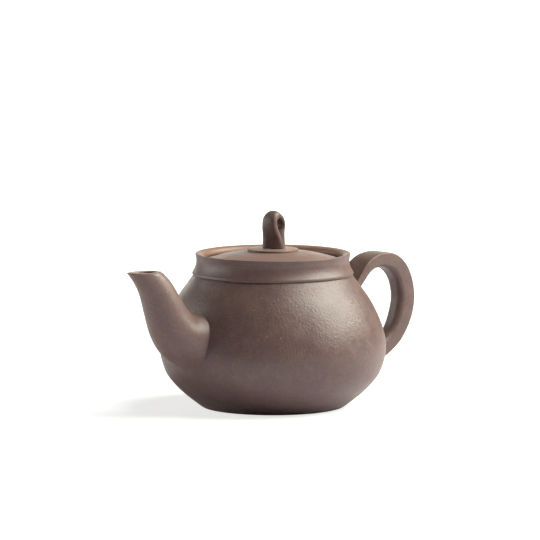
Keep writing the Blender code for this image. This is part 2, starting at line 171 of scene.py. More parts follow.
def clay(name, ground, shade, warm, roughness, crinkle, grain=0.006, rings=0.0, rubbed=0.0,
         joint_slip_and_shade=0.0, inside=0.0, seed=0.0):
    """Node tree shared by the clay finishes.

    Crinkle, grain and rings are depths of relief, and inside is a radius, all in mm. Rubbed and
    the share for the band under the collar are shares of colour; that band is partly darker clay
    gathered in the seam and partly painted shade of the groove. Seed moves the patterns along. A
    colour mix takes its two colours on sockets 6 and 7 and gives the result on output 2.
    """
    colours = bpy.context.scene.teapot_colours
    material = bpy.data.materials.new(name)
    material.use_nodes = True
    tree = material.node_tree
    tree.nodes.clear()
    place = add_node(tree, "ShaderNodeTexCoord")
    mm = add_node(tree, "ShaderNodeMapping",
                  {"Scale": (1000, 1000, 1000), "Location": (seed, seed * 0.7, 0)},
                  {"Vector": place.outputs["Object"]}).outputs["Vector"]

    # Firing clouds, and a finer mottling over them
    clouds = add_node(tree, "ShaderNodeTexNoise",
                      {"Scale": 1 / CLOUD_SIZE, "Detail": 3.0, "Roughness": 0.55}, {"Vector": mm})
    cloud_share = add_node(tree, "ShaderNodeMapRange",
                           {"From Min": 0.38, "From Max": 0.64}, {"Value": clouds.outputs["Fac"]})
    mottle = add_node(tree, "ShaderNodeTexNoise",
                      {"Scale": 1 / MOTTLE_SIZE, "Detail": 4.0, "Roughness": 0.6}, {"Vector": mm})
    mottle_share = add_node(tree, "ShaderNodeMapRange",
                            {"From Min": 0.42, "From Max": 0.72, "To Max": 0.55},
                            {"Value": mottle.outputs["Fac"]})
    base = add_node(tree, "ShaderNodeMix", {"data_type": "RGBA", 6: shade, 7: ground},
                    {"Factor": cloud_share.outputs["Result"]})
    patchy = add_node(tree, "ShaderNodeMix", {"data_type": "RGBA", 7: warm},
                      {"Factor": mottle_share.outputs["Result"], 6: base.outputs[2]})

    # Sand grain of the clay, drawn a little coarser than its real 0.6 mm so that it shows
    sand = add_node(tree, "ShaderNodeTexNoise",
                    {"Scale": 1 / SAND_SIZE, "Detail": 3.0, "Roughness": 0.65}, {"Vector": mm})
    sand_light = add_node(tree, "ShaderNodeMapRange",
                          {"From Min": 0.3, "From Max": 0.7, "To Min": 0.84, "To Max": 1.16},
                          {"Value": sand.outputs["Fac"]})
    sanded = add_node(tree, "ShaderNodeVectorMath", {"operation": "SCALE"},
                      {0: patchy.outputs[2], "Scale": sand_light.outputs["Result"]})

    # Pale and rusty grains of up to 1.1 mm, in about one cell of the pattern out of three
    flecks = add_node(tree, "ShaderNodeTexVoronoi", {"Scale": 1 / FLECK_SPACING}, {"Vector": mm})
    chance = add_node(tree, "ShaderNodeSeparateColor", {}, {"Color": flecks.outputs["Color"]})
    fleck_size = add_node(tree, "ShaderNodeMapRange",
                          {"From Min": 0.7, "From Max": 1.0, "To Min": 0.0, "To Max": 0.12},
                          {"Value": chance.outputs["Red"]})
    fleck = add_node(tree, "ShaderNodeMath", {"operation": "LESS_THAN"},
                     {0: flecks.outputs["Distance"], 1: fleck_size.outputs["Result"]})
    fleck_share = add_node(tree, "ShaderNodeMath", {"operation": "MULTIPLY", 1: 0.5},
                           {0: fleck.outputs["Value"]})
    fleck_tint = add_node(tree, "ShaderNodeMix",
                          {"data_type": "RGBA", 6: tuple(colours.pale_grain),
                           7: tuple(colours.rusty_grain)}, {"Factor": chance.outputs["Green"]})
    flecked = add_node(tree, "ShaderNodeMix", {"data_type": "RGBA"},
                       {"Factor": fleck_share.outputs["Value"], 6: sanded.outputs["Vector"],
                        7: fleck_tint.outputs[2]})

    # Pinholes and dark grains of up to 0.7 mm: dark grains, and painted shade inside the pinholes
    pits = add_node(tree, "ShaderNodeTexVoronoi", {"Scale": 1 / PINHOLE_SPACING}, {"Vector": mm})
    pit_chance = add_node(tree, "ShaderNodeSeparateColor", {}, {"Color": pits.outputs["Color"]})
    pit_size = add_node(tree, "ShaderNodeMapRange",
                        {"From Min": 0.72, "From Max": 1.0, "To Min": 0.0, "To Max": 0.13},
                        {"Value": pit_chance.outputs["Red"]})
    pit = add_node(tree, "ShaderNodeMath", {"operation": "LESS_THAN"},
                   {0: pits.outputs["Distance"], 1: pit_size.outputs["Result"]})
    pit_shade_share = add_node(tree, "ShaderNodeMath", {"operation": "MULTIPLY", 1: 0.45},
                         {0: pit.outputs["Value"]})
    pit_shaded = add_node(tree, "ShaderNodeMix", {"data_type": "RGBA", 7: tuple(colours.dark_grain_and_shade)},
                      {"Factor": pit_shade_share.outputs["Value"], 6: flecked.outputs[2]})
    colour = pit_shaded.outputs[2]

    # Coarser grit of about 1 mm that stands a little proud of the skin
    grit = add_node(tree, "ShaderNodeTexVoronoi",
                    {"feature": "SMOOTH_F1", "Scale": 1 / GRIT_SPACING, "Smoothness": 0.4},
                    {"Vector": mm})
    grit_rise = add_node(tree, "ShaderNodeMapRange",
                         {"interpolation_type": "SMOOTHSTEP", "From Min": 0.1, "From Max": 0.5,
                          "To Min": 1.0, "To Max": 0.0}, {"Value": grit.outputs["Distance"]})
    grit_kind = add_node(tree, "ShaderNodeSeparateColor", {}, {"Color": grit.outputs["Color"]})
    grit_share = add_node(tree, "ShaderNodeMath", {"operation": "MULTIPLY"},
                          {0: grit_rise.outputs["Result"], 1: grit_kind.outputs["Red"]})

    # Relief: paddled unevenness, crinkle of the smoothed skin, sand, grit and pinholes
    paddled = add_node(tree, "ShaderNodeTexNoise",
                       {"Scale": 1 / PADDLE_SIZE, "Detail": 2.0, "Roughness": 0.5}, {"Vector": mm})
    skin = add_node(tree, "ShaderNodeTexNoise",
                    {"Scale": 1 / CRINKLE_SIZE, "Detail": 2.0, "Roughness": 0.5,
                     "Distortion": 0.4}, {"Vector": mm})
    relief = add_node(tree, "ShaderNodeMath", {"operation": "MULTIPLY", 1: PADDLE_DEPTH},
                      {0: paddled.outputs["Fac"]})
    for source, depth in ((skin.outputs["Fac"], crinkle * NOISE_GAIN),
                          (sand.outputs["Fac"], grain * NOISE_GAIN),
                          (grit_share.outputs["Value"], crinkle * GRIT_GAIN),
                          (pit.outputs["Value"], -PINHOLE_DEPTH)):
        relief = add_node(tree, "ShaderNodeMath", {"operation": "MULTIPLY_ADD", 1: depth},
                          {0: source, 2: relief.outputs["Value"]})

    if joint_slip_and_shade:
        # Darker band about 0.7 mm high under the collar: partly darker clay gathered in the seam,
        # and partly painted shade of the groove
        upright = add_node(tree, "ShaderNodeSeparateXYZ", {}, {"Vector": mm})
        offset = add_node(tree, "ShaderNodeMath", {"operation": "SUBTRACT", 1: COLLAR_JOINT - 0.05},
                          {0: upright.outputs["Z"]})
        away = add_node(tree, "ShaderNodeMath", {"operation": "ABSOLUTE"},
                        {0: offset.outputs["Value"]})
        slip_and_groove_shade = add_node(tree, "ShaderNodeMapRange",
                        {"interpolation_type": "SMOOTHSTEP", "From Min": 0.1, "From Max": 0.6,
                         "To Min": joint_slip_and_shade, "To Max": 0.0}, {"Value": away.outputs["Value"]})
        slip_and_shade_mixed = add_node(tree, "ShaderNodeMix",
                          {"data_type": "RGBA", 7: tuple(colours.dark_grain_and_shade)},
                          {"Factor": slip_and_groove_shade.outputs["Result"], 6: colour})
        colour = slip_and_shade_mixed.outputs[2]

    # Distance from the pot's axis in mm, which the seed doesn't move
    across = add_node(tree, "ShaderNodeVectorMath",
                      {"operation": "MULTIPLY", 1: (1000, 1000, 0)}, {0: place.outputs["Object"]})
    radius = add_node(tree, "ShaderNodeVectorMath", {"operation": "LENGTH"},
                      {0: across.outputs["Vector"]})
    if inside:
        # Redder clay within that radius, inside the mouth
        inside_share = add_node(tree, "ShaderNodeMapRange",
                            {"From Min": inside - 0.3, "From Max": inside + 0.3,
                             "To Min": 0.85, "To Max": 0.0}, {"Value": radius.outputs["Value"]})
        redder = add_node(tree, "ShaderNodeMix", {"data_type": "RGBA", 7: tuple(colours.mouth)},
                          {"Factor": inside_share.outputs["Result"], 6: colour})
        colour = redder.outputs[2]

    if rings:
        # Fine lines round the axis, left by the rib while the piece turned
        line = add_node(tree, "ShaderNodeTexNoise",
                        {"noise_dimensions": "1D", "Scale": 1 / RIB_LINE_SIZE, "Detail": 3.0},
                        {"W": radius.outputs["Value"]})
        relief = add_node(tree, "ShaderNodeMath", {"operation": "MULTIPLY_ADD", 1: rings},
                          {0: line.outputs["Fac"], 2: relief.outputs["Value"]})
        line_light = add_node(tree, "ShaderNodeMapRange",
                              {"From Min": 0.3, "From Max": 0.7, "To Min": 0.93, "To Max": 1.07},
                              {"Value": line.outputs["Fac"]})
        colour = add_node(tree, "ShaderNodeVectorMath", {"operation": "SCALE"},
                          {0: colour, "Scale": line_light.outputs["Result"]}).outputs["Vector"]

    if rubbed:
        # Handling and wiping leave the proud edges paler and warmer
        shape = add_node(tree, "ShaderNodeNewGeometry")
        edge = add_node(tree, "ShaderNodeMapRange",
                        {"From Min": 0.51, "From Max": 0.6, "To Max": rubbed},
                        {"Value": shape.outputs["Pointiness"]})
        worn = add_node(tree, "ShaderNodeMix",
                        {"data_type": "RGBA", 7: tuple(colours.rubbed_edge)},
                        {"Factor": edge.outputs["Result"], 6: colour})
        colour = worn.outputs[2]

    gloss = add_node(tree, "ShaderNodeMapRange",
                     {"From Min": 0.3, "From Max": 0.7, "To Min": roughness - 0.06,
                      "To Max": roughness + 0.08}, {"Value": mottle.outputs["Fac"]})
    bump = add_node(tree, "ShaderNodeBump", {"Strength": 1.0, "Distance": MM},
                    {"Height": relief.outputs["Value"]})
    shader = add_node(tree, "ShaderNodeBsdfPrincipled",
                      {"IOR": 1.5, "Metallic": 0.0, "Sheen Weight": 0.12, "Sheen Roughness": 0.45,
                       "Sheen Tint": tuple(colours.sheen)},
                      {"Base Color": colour, "Roughness": gloss.outputs["Result"],
                       "Normal": bump.outputs["Normal"]})
    add_node(tree, "ShaderNodeOutputMaterial", {}, {"Surface": shader.outputs["BSDF"]})
    return material


def finish(kind):
    """The clay finish of that name, made once."""
    if kind in bpy.data.materials:
        return bpy.data.materials[kind]
    colours = bpy.context.scene.teapot_colours
    ground, shade, warm = (tuple(colours.ground), tuple(colours.shade), tuple(colours.warm))
    if kind == "stoneware_paddled":
        # Iron-rich stoneware, beaten round and smoothed with a horn rib: satin, with crinkles
        # Its ground is darker than the neck's clay, as painted shade on the belly
        return clay(kind, tuple(colours.belly_shaded_ground), shade, warm, roughness=0.39,
                    crinkle=0.028, grain=0.01, joint_slip_and_shade=0.35)
    if kind == "stoneware_neck":
        # The neck, cut from the same slab and turned against a rib: smoother than the belly
        return clay(kind, ground, shade, warm, roughness=0.41, crinkle=0.017, grain=0.009,
                    joint_slip_and_shade=0.35, inside=31.4)
    if kind == "stoneware_lid":
        # The lid, turned like the neck but rubbed with finer clay: paler, warmer, faint lines
        return clay(kind, tuple(colours.lid_ground), ground, warm, roughness=0.45, crinkle=0.012,
                    rings=0.045, rubbed=0.2, seed=11)
    if kind == "stoneware_pressed":
        # The spout, pressed round a core and scraped: paler than the belly, as painted light on the
        # spout
        return clay(kind, tuple(colours.spout_lit_ground), ground, warm, roughness=0.4,
                    crinkle=0.018, grain=0.008, rubbed=0.25, seed=45)
    if kind == "stoneware_rim":
        # Rim and ledge, wiped with a wet leather: drier, and redder on their inside
        return clay(kind, ground, shade, warm, roughness=0.46, crinkle=0.008, rubbed=0.15,
                    inside=31.6, seed=57)
    if kind == "stoneware_pulled":
        # Handle and knob, pulled by hand and wiped wet: darker as painted shade, uneven, paler
        # along the edges
        return clay(kind, tuple(colours.handle_shaded_ground), shade, warm, roughness=0.42,
                    crinkle=0.014, rubbed=0.25, seed=83)
    raise ValueError("no clay finish named " + kind)


# ---------------------------------------------------------------- shaping

def smooth_line(points, steps):
    """Points along a Catmull-Rom curve that passes through the given ones."""
    known = [Vector(point) for point in points]
    known = [known[0] * 2 - known[1]] + known + [known[-1] * 2 - known[-2]]
    line = []
    for before, start, end, after in zip(known, known[1:], known[2:], known[3:]):
        for step in range(steps):
            t = step / steps
            line.append(0.5 * (2 * start + (end - before) * t
                               + (2 * before - 5 * start + 4 * end - after) * t ** 2
                               + (3 * start - before - 3 * end + after) * t ** 3))
    return line + [known[-2]]


def along(line, share):
    """The point at that share of a line's points."""
    place = min(max(share, 0.0), 1.0) * (len(line) - 1)
    index = min(int(place), len(line) - 2)
    return line[index].lerp(line[index + 1], place - index)


def stretch(line, low, high):
    """The part of a rising outline between two heights, with a point on each."""
    def at(height):
        height = min(max(height, line[0][1]), line[-1][1])
        for lower, upper in zip(line, line[1:]):
            if lower[1] <= height <= upper[1]:
                return lower.lerp(upper, (height - lower[1]) / (upper[1] - lower[1]))
        raise ValueError("the outline doesn't rise all the way")

    near_end = 0.12
    inside = [point for point in line if low + near_end < point[1] < high - near_end]
    ends = [at(low), at(low + near_end / 2), at(high - near_end / 2), at(high)]
    return ends[:2] + inside + ends[2:]


def inset(line, thickness):
    """The outline moved towards the axis along its own normals."""
    moved = []
    for index, point in enumerate(line):
        run = line[min(index + 1, len(line) - 1)] - line[max(index - 1, 0)]
        run.normalize()
        moved.append(point + Vector((-run[1], run[0])) * thickness)
    return moved


def uneven(shell, depth, round_axis=True):
    """Moves points by the slow unevenness of hand work, the same for pieces that meet."""
    shell.normal_update()
    for vert in shell.verts:
        amount = noise.fractal(vert.co / (WAVE_SIZE * MM), 1.0, 2.0, 2) * depth
        way = Vector((vert.co.x, vert.co.y, 0)) if round_axis else vert.normal
        if way.length > MM / 100:
            vert.co += way.normalized() * amount


def outward(shell):
    """Turns the faces of a closed shell outwards."""
    bmesh.ops.recalc_face_normals(shell, faces=shell.faces)
    if shell.calc_volume(signed=True) < 0:
        bmesh.ops.reverse_faces(shell, faces=shell.faces)


def spun(profile, segments):
    """A profile of radius and height in mm, spun round the pot's axis into a closed shell."""
    shell = bmesh.new()
    line = [shell.verts.new(Vector((radius, 0, height)) * MM) for radius, height in profile]
    edges = [shell.edges.new(pair) for pair in zip(line, line[1:])]
    if profile[0][0] > 0 or profile[-1][0] > 0:
        edges.append(shell.edges.new((line[-1], line[0])))
    bmesh.ops.spin(shell, geom=line + edges, axis=(0, 0, 1), cent=(0, 0, 0), angle=math.tau,
                   steps=segments, use_merge=True)
    bmesh.ops.remove_doubles(shell, verts=shell.verts, dist=MM / 1000)
    outward(shell)
    return shell


def swept(ring_points, stations, loop):
    """A ring of points extruded from station to station; loop joins the last to the first."""
    shell = bmesh.new()
    number = shell.verts.layers.int.new("number")
    bmesh.ops.create_circle(shell, cap_ends=False, radius=MM, segments=len(ring_points(0)))
    shell.verts.ensure_lookup_table()
    for index, vert in enumerate(shell.verts):
        vert[number] = index
    ring = list(shell.verts)
    edges = list(shell.edges)
    first = list(edges)
    for station in range(stations):
        if station:
            made = bmesh.ops.extrude_edge_only(shell, edges=edges)["geom"]
            ring = [item for item in made if isinstance(item, bmesh.types.BMVert)]
            edges = [item for item in made if isinstance(item, bmesh.types.BMEdge)
                     and all(vert in ring for vert in item.verts)]
        points = ring_points(station)
        for vert in ring:
            vert.co = points[vert[number]]
    if loop:
        bmesh.ops.bridge_loops(shell, edges=first + edges)
    else:
        bmesh.ops.edgeloop_fill(shell, edges=first)
        bmesh.ops.edgeloop_fill(shell, edges=edges)
    outward(shell)
    return shell


def as_object(name, shell, crisp=38):
    """A shell as an object of the scene, smooth but for edges of more than crisp degrees."""
    mesh = bpy.data.meshes.new(name)
    shell.to_mesh(mesh)
    shell.free()
    mesh.shade_smooth()
    mesh.set_sharp_from_angle(angle=math.radians(crisp))
    piece = bpy.data.objects.new(name, mesh)
    bpy.context.scene.collection.objects.link(piece)
    return piece


def keep_modifiers(piece, crisp=38):
    """Writes a piece's modifiers into its mesh."""
    shape = piece.evaluated_get(bpy.context.evaluated_depsgraph_get())
    mesh = bpy.data.meshes.new_from_object(shape)
    piece.modifiers.clear()
    piece.data = mesh
    mesh.shade_smooth()
    mesh.set_sharp_from_angle(angle=math.radians(crisp))
    if not mesh.polygons:
        raise RuntimeError(piece.name + " came out empty")


def carve(piece, *cutters):
    """Takes the cutters away from the piece, and removes them."""
    for cutter in cutters:
        cut = piece.modifiers.new("carve", "BOOLEAN")
        cut.operation = "DIFFERENCE"
        cut.solver = "EXACT"
        cut.object = cutter
    keep_modifiers(piece)
    for cutter in cutters:
        bpy.data.objects.remove(cutter)


def drill(radius, start, end, sides=32):
    """A rod between two points, to carve a round hole with."""
    shell = bmesh.new()
    run = Vector(end) - Vector(start)
    turn = run.to_track_quat("Z", "Y").to_matrix().to_4x4()
    place = Matrix.Translation((Vector(start) + Vector(end)) / 2) @ turn
    bmesh.ops.create_cone(shell, cap_ends=True, segments=sides, radius1=radius, radius2=radius,
                          depth=run.length, matrix=place)
    return as_object("drill", shell)


def place_piece(piece, node, body, kind):
    """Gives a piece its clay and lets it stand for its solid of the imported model."""
    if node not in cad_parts:
        raise RuntimeError("the packed model has no " + node)
    piece.data.materials.clear()
    piece.data.materials.append(finish(kind))
    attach(piece, body)
    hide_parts(node)


# ---------------------------------------------------------------- pot

def belly_line():
    """The belly's outline as points of radius and height, in mm."""
    return smooth_line(BELLY_OUTLINE, 10)


def wall_piece(name, low, high, top=None):
    """A turned ring of the pot's wall between two joints, with its own top outline if given."""
    sizes = bpy.context.scene.teapot_sizes
    outer = stretch(belly_line(), low, min(high, BELLY_OUTLINE[-1][1]))
    inner = inset(outer[::3] + [outer[-1]], sizes.wall / MM)
    inner[0][1], inner[-1][1] = low, high
    if top:
        outer = [point for point in outer if point[1] < top[0][1]] + [Vector(p) for p in top]
    shell = spun(list(reversed(outer)) + inner, sizes.facets)
    uneven(shell, sizes.unevenness)
    return as_object(name, shell)


class TEAPOT_OT_belly(bpy.types.Operator):
    """Foot disc, belly wall with the opening for the spout, and shoulder ring"""
    bl_idname = "teapot.belly"
    bl_label = "Belly"

    def execute(self, context):
        sizes = context.scene.teapot_sizes
        line = stretch(belly_line(), 0.0, FOOT_JOINT)
        start = line[0] + Vector(FOOT_ROUNDING)
        outer = [start] + [point for point in line if point[1] > start[1] + 0.2]
        profile = [(0.0, FOOT_JOINT)] + list(reversed(outer)) + FOOT_UNDERSIDE
        shell = spun(profile, sizes.facets)
        uneven(shell, sizes.unevenness)
        place_piece(as_object("foot_disc", shell), "base_disc", "pot",
                    "stoneware_paddled")

        belly = wall_piece("belly", FOOT_JOINT, SHOULDER_JOINT)
        height = (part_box("strainer")[0].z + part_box("strainer")[1].z) / 2
        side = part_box("body_wall")[0].x
        within, beyond = 0.6, 1.1
        carve(belly, drill(sizes.spout_opening, (side * within, 0, height),
                           (side * beyond, 0, height), 64))
        place_piece(belly, "body_wall", "pot", "stoneware_paddled")

        shoulder = wall_piece("shoulder", SHOULDER_JOINT, COLLAR_JOINT, COLLAR_GROOVE)
        place_piece(shoulder, "shoulder_ring", "pot", "stoneware_paddled")
        return {"FINISHED"}


class TEAPOT_OT_neck(bpy.types.Operator):
    """Collar, rounded lip of the mouth and the ledge that carries the lid"""
    bl_idname = "teapot.neck"
    bl_label = "Neck"

    def execute(self, context):
        sizes = context.scene.teapot_sizes
        collar = [tuple(point) for point in reversed(smooth_line(COLLAR_OUTLINE, 3))]
        collar += [(NECK_BORE, COLLAR_JOINT), (NECK_BORE, LIP_JOINT)]
        shell = spun(collar, sizes.facets)
        uneven(shell, sizes.unevenness)
        place_piece(as_object("collar", shell), "neck_collar", "pot",
                    "stoneware_neck")

        shell = spun([tuple(point) for point in smooth_line(LIP_OUTLINE, 3)], sizes.facets)
        uneven(shell, sizes.unevenness)
        place_piece(as_object("mouth_lip", shell), "rim_lip", "pot", "stoneware_rim")

        low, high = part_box("lid_seat_ring")
        bottom, top, reach = low.z / MM, high.z / MM, high.x / MM
        ledge = [(reach, top), (reach, bottom), (reach - 1.2, bottom + 0.1),
                 (LEDGE_BORE + 0.3, bottom + 0.5), (LEDGE_BORE, bottom + 0.9),
                 (LEDGE_BORE, top - 0.35), (LEDGE_BORE + 0.15, top - 0.1), (LEDGE_BORE + 0.4, top)]
        place_piece(as_object("lid_ledge", spun(ledge, sizes.facets)), "lid_seat_ring", "pot",
                    "stoneware_rim")
        return {"FINISHED"}


def core():
    """The pot's belly with its skin lowered, which trims what is luted to it."""
    top, facets = 55.7, 96
    line = inset(stretch(belly_line(), 0.0, top), LUTED_DEPTH)
    line[0][1] = 0.0
    profile = [(0.0, line[-1][1])] + list(reversed(line)) + [(0.0, 0.0)]
    return as_object("core", spun(profile, facets))


def full_or_round(angle, power):
    """A point of the unit circle, pushed out towards a square where power is below 1."""
    return tuple(math.copysign(abs(value) ** power, value)
                 for value in (math.cos(angle), math.sin(angle)))


class TEAPOT_OT_spout(bpy.types.Operator):
    """Hollow curved spout, cut level at its mouth, and the drilled strainer behind it"""
    bl_idname = "teapot.spout"
    bl_label = "Spout and strainer"

    def execute(self, context):
        self.tube(context.scene.teapot_sizes)
        self.strainer()
        return {"FINISHED"}

    def tube(self, sizes):
        """The spout: its skin up to the mouth, over the rim, and back down its channel."""
        line = smooth_line(SPOUT_SECTIONS, 12)
        root_widening = 0.04
        over, under, halves = [], [], []
        for index, (x, z, radius) in enumerate(line):
            run = line[min(index + 1, len(line) - 1)] - line[max(index - 1, 0)]
            # The left side of a run towards -X is the spout's under side
            left = Vector((-run[1], run[0])).normalized()
            widening = 1 + root_widening * (1 - index / (len(line) - 1))
            over.append(Vector((x, z)) - left * radius)
            under.append(Vector((x, z)) + left * radius)
            halves.append(Vector((radius * widening, 0)))
        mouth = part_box("spout")[1].z / MM

        def until_mouth(side):
            for index, (lower, upper) in enumerate(zip(side, side[1:])):
                if upper[1] > mouth:
                    part = (mouth - lower[1]) / (upper[1] - lower[1])
                    return side[:index + 1] + [lower.lerp(upper, part)]
            raise RuntimeError("the spout doesn't reach its mouth")

        over, under = until_mouth(over), until_mouth(under)
        halves = halves[:(len(over) + len(under)) // 2]
        wall = sizes.spout_wall / MM
        full_root, full_until = 0.75, 0.25

        def section(share, thickness, under_wall, drop=0.0, drawn_in=0.0):
            """Points of the ring at that share of the length, its walls' thicknesses inside."""
            low, high = along(under, share), along(over, share)
            way = (high - low).normalized()
            low, high = low + way * under_wall, high - way * thickness
            half = along(halves, share)[0] - thickness - drawn_in
            centre, reach = (low + high) / 2, (high - low) / 2
            power = full_root + (1 - full_root) * min(share / full_until, 1)
            ring = []
            for index in range(sizes.spout_facets):
                up, aside = full_or_round(math.tau * index / sizes.spout_facets, power)
                point = centre + reach * up
                ring.append(Vector((point[0], half * aside, point[1] - drop)) * MM)
            return ring

        # The under wall thickens towards the mouth, where its level cut shows it
        tip_wall, rim_drop, mouth_in = 5.6, 0.35, 0.3
        thick_from, thick_over = 0.68, 0.32
        skin_steps, channel_steps = 44, 30
        rings = [section(step / skin_steps, 0, 0) for step in range(skin_steps)]
        rings += [section(1, 0, 0, rim_drop), section(1, 0.04, 0.06, 0.12),
                  section(1, 0.2, 0.22), section(1, wall - 0.35, tip_wall - 0.5),
                  section(1, wall - 0.1, tip_wall - 0.15, 0.1),
                  section(1, wall, tip_wall, rim_drop, mouth_in)]
        for step in range(1, channel_steps + 1):
            share = 1 - step / channel_steps
            thick = min(max((share - thick_from) / thick_over, 0), 1)
            thick = thick * thick * (3 - 2 * thick)
            rings.append(section(share, wall, wall + (tip_wall - wall) * thick,
                                 rim_drop * thick, mouth_in * thick))
        shell = swept(lambda station: rings[station], len(rings), loop=True)
        uneven(shell, sizes.unevenness, round_axis=False)
        tube = as_object("spout_tube", shell)
        carve(tube, core())
        place_piece(tube, "spout", "pot", "stoneware_pressed")

    def strainer(self):
        """The drilled dome, turned upright and laid on its side behind the spout."""
        low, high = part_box("strainer")
        outer = (high.z - low.z) / 2
        height = (high.z + low.z) / 2
        collar = high.x - low.x - outer
        wall, hole = 1.3 * MM, 0.85 * MM
        below, beyond = 3 * MM, 1.5 * MM
        steps = 14
        quarter = [math.pi / 2 * step / steps for step in range(steps + 1)]
        profile = [(outer * math.sin(a), collar + outer * math.cos(a)) for a in quarter]
        profile += [(outer, 0.0), (outer - wall, 0.0)]
        profile += [((outer - wall) * math.cos(a), collar + (outer - wall) * math.sin(a))
                    for a in quarter]
        profile[0], profile[-1] = (0.0, profile[0][1]), (0.0, profile[-1][1])
        shell = spun([(radius / MM, rise / MM) for radius, rise in profile], 64)
        turn = Matrix.Translation((low.x, 0, height)) @ Matrix.Rotation(math.pi / 2, 4, "Y")
        bmesh.ops.transform(shell, matrix=turn, verts=shell.verts)
        dome = as_object("spout_strainer", shell)
        centre = Vector((low.x + collar, 0, height))
        drills = []
        for tilt, count, offset in ((0, 1, 0), (28, 6, 0), (56, 12, 0.5)):
            for number in range(count):
                lean, round_it = math.radians(tilt), math.tau * (number + offset) / count
                way = Vector((math.cos(lean), math.sin(lean) * math.cos(round_it),
                              math.sin(lean) * math.sin(round_it)))
                drills.append(drill(hole, centre + way * (outer - below),
                                    centre + way * (outer + beyond), 12))
        carve(dome, *drills)
        place_piece(dome, "strainer", "pot", "stoneware_pulled")


class TEAPOT_OT_handle(bpy.types.Operator):
    """Pulled strap handle, flat outside with crisp edges and rounded inside"""
    bl_idname = "teapot.handle"
    bl_label = "Handle"

    def execute(self, context):
        sizes = context.scene.teapot_sizes
        line = smooth_line(HANDLE_SECTIONS, 6)

        def corners(station):
            x, z, thickness, width = line[station]
            run = line[min(station + 1, len(line) - 1)] - line[max(station - 1, 0)]
            ahead = Vector((run[0], 0, run[1])).normalized()
            outwards = Vector((-ahead.z, 0, ahead.x))
            outer = Vector((x, 0, z))
            inner = outer - outwards * thickness
            aside = Vector((0, width / 2, 0))
            return [point * MM for point in (outer + aside, outer - aside, inner - aside,
                                             inner + aside)]

        shell = swept(corners, len(line), loop=False)
        number = shell.verts.layers.int["number"]
        chains = {"outer": [], "inner": []}
        for edge in shell.edges:
            first, second = (vert[number] for vert in edge.verts)
            if first == second:
                chains["outer" if first in (0, 1) else "inner"].append(edge)
        inner_rounding = 34         # per cent of the strap's narrow faces
        bmesh.ops.bevel(shell, geom=chains["inner"], offset=inner_rounding, offset_type="PERCENT",
                        segments=10, profile=0.5, affect="EDGES", material=-1)
        outer = [edge for edge in chains["outer"] if edge.is_valid]
        bmesh.ops.bevel(shell, geom=outer, offset=sizes.handle_edge, offset_type="OFFSET",
                        segments=4, profile=0.5, affect="EDGES", material=-1)
        # The long edges across the strap are split, so that its flat face can be uneven too
        long_edge, level = 2.4 * MM, 0.9
        wide = [edge for edge in shell.edges if edge.calc_length() > long_edge
                and abs(edge.verts[0].co.y - edge.verts[1].co.y) > level * edge.calc_length()
                and len(edge.link_faces) == 2]
        bmesh.ops.subdivide_edges(shell, edges=wide, cuts=4, use_grid_fill=True)
        outward(shell)
        uneven(shell, sizes.unevenness, round_axis=False)
        strap = as_object("handle_strap", shell, 50)
        carve(strap, core())
        place_piece(strap, "handle", "pot", "stoneware_pulled")
        return {"FINISHED"}


# ---------------------------------------------------------------- lid

class TEAPOT_OT_lid(bpy.types.Operator):
    """Domed lid with its air hole, the ring that keeps it in the mouth, and the knob's disc"""
    bl_idname = "teapot.lid"
    bl_label = "Lid"

    def execute(self, context):
        sizes = context.scene.teapot_sizes
        low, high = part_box("lid_plate")
        disc_low, disc_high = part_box("knob_seat")
        reach, bottom = high.x / MM, low.z / MM
        disc = disc_high.x / MM
        edge_height, bow = 1.8, 2.2
        crown, edge = high.z / MM, bottom + edge_height
        inner = disc / reach

        def dome(radius):
            """Height of the dome's top at that radius."""
            fall = (1 - (radius / reach) ** bow) / (1 - inner ** bow)
            return edge + (crown - edge) * fall

        steps = 26
        radii = [disc - 1 + (reach - 0.55 - disc + 1) * step / steps for step in range(steps + 1)]
        top = [(0.0, dome(disc - 1))] + [(radius, dome(radius)) for radius in radii]
        rounded = [(reach - 0.25, edge - 0.02), (reach - 0.06, edge - 0.2), (reach, edge - 0.45)]
        # The underside is flat where it rests, and hollowed within the ring
        thickness, hollow_start, hollow_slope = 2.4, 21.8, 0.35
        under = [(reach, bottom + 0.3), (reach - 0.2, bottom + 0.06), (reach - 0.5, bottom),
                 (22.6, bottom), (22.3, bottom + 0.15)]
        under += [(radius, min(dome(radius) - thickness,
                               bottom + 0.3 + (hollow_start - radius) * hollow_slope))
                  for radius in (21.6, 20.0, 18.5, 17.0, 15.0, 13.0, 10.7)]
        under.append((0.0, under[-1][1]))
        shell = spun(top + rounded + under, sizes.facets)
        turned_true = 0.7           # the lid is turned more evenly than the pot
        uneven(shell, sizes.unevenness * turned_true)
        plate = as_object("lid_dome", shell)
        hole = Vector((10.3, 12.3, 0)) * MM
        carve(plate, drill(sizes.air_hole, hole + Vector((0, 0, low.z - MM)),
                           hole + Vector((0, 0, high.z + MM))))
        place_piece(plate, "lid_plate", "lid", "stoneware_lid")

        low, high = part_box("lid_flange")
        reach, bottom, top_height = high.x / MM, low.z / MM, high.z / MM
        ring = [(reach, top_height), (reach - 0.3, bottom + 0.5), (reach - 0.5, bottom + 0.12),
                (reach - 0.9, bottom), (reach - 1.4, bottom + 0.1), (reach - 1.8, bottom + 0.5),
                (reach - 2.4, top_height)]
        place_piece(as_object("lid_ring", spun(ring, sizes.facets)), "lid_flange", "lid",
                    "stoneware_lid")

        sunk = 0.35                 # the disc reaches this far into the dome
        bottom, top_height = disc_low.z / MM - sunk, disc_high.z / MM
        flat = [(0.0, top_height), (disc - 0.45, top_height), (disc - 0.2, top_height - 0.05),
                (disc - 0.04, top_height - 0.2), (disc, top_height - 0.35), (disc - 0.1, bottom),
                (0.0, bottom)]
        shell = spun(flat, sizes.facets)
        uneven(shell, sizes.unevenness)
        place_piece(as_object("lid_disc", shell), "knob_seat", "lid",
                    "stoneware_lid")
        return {"FINISHED"}


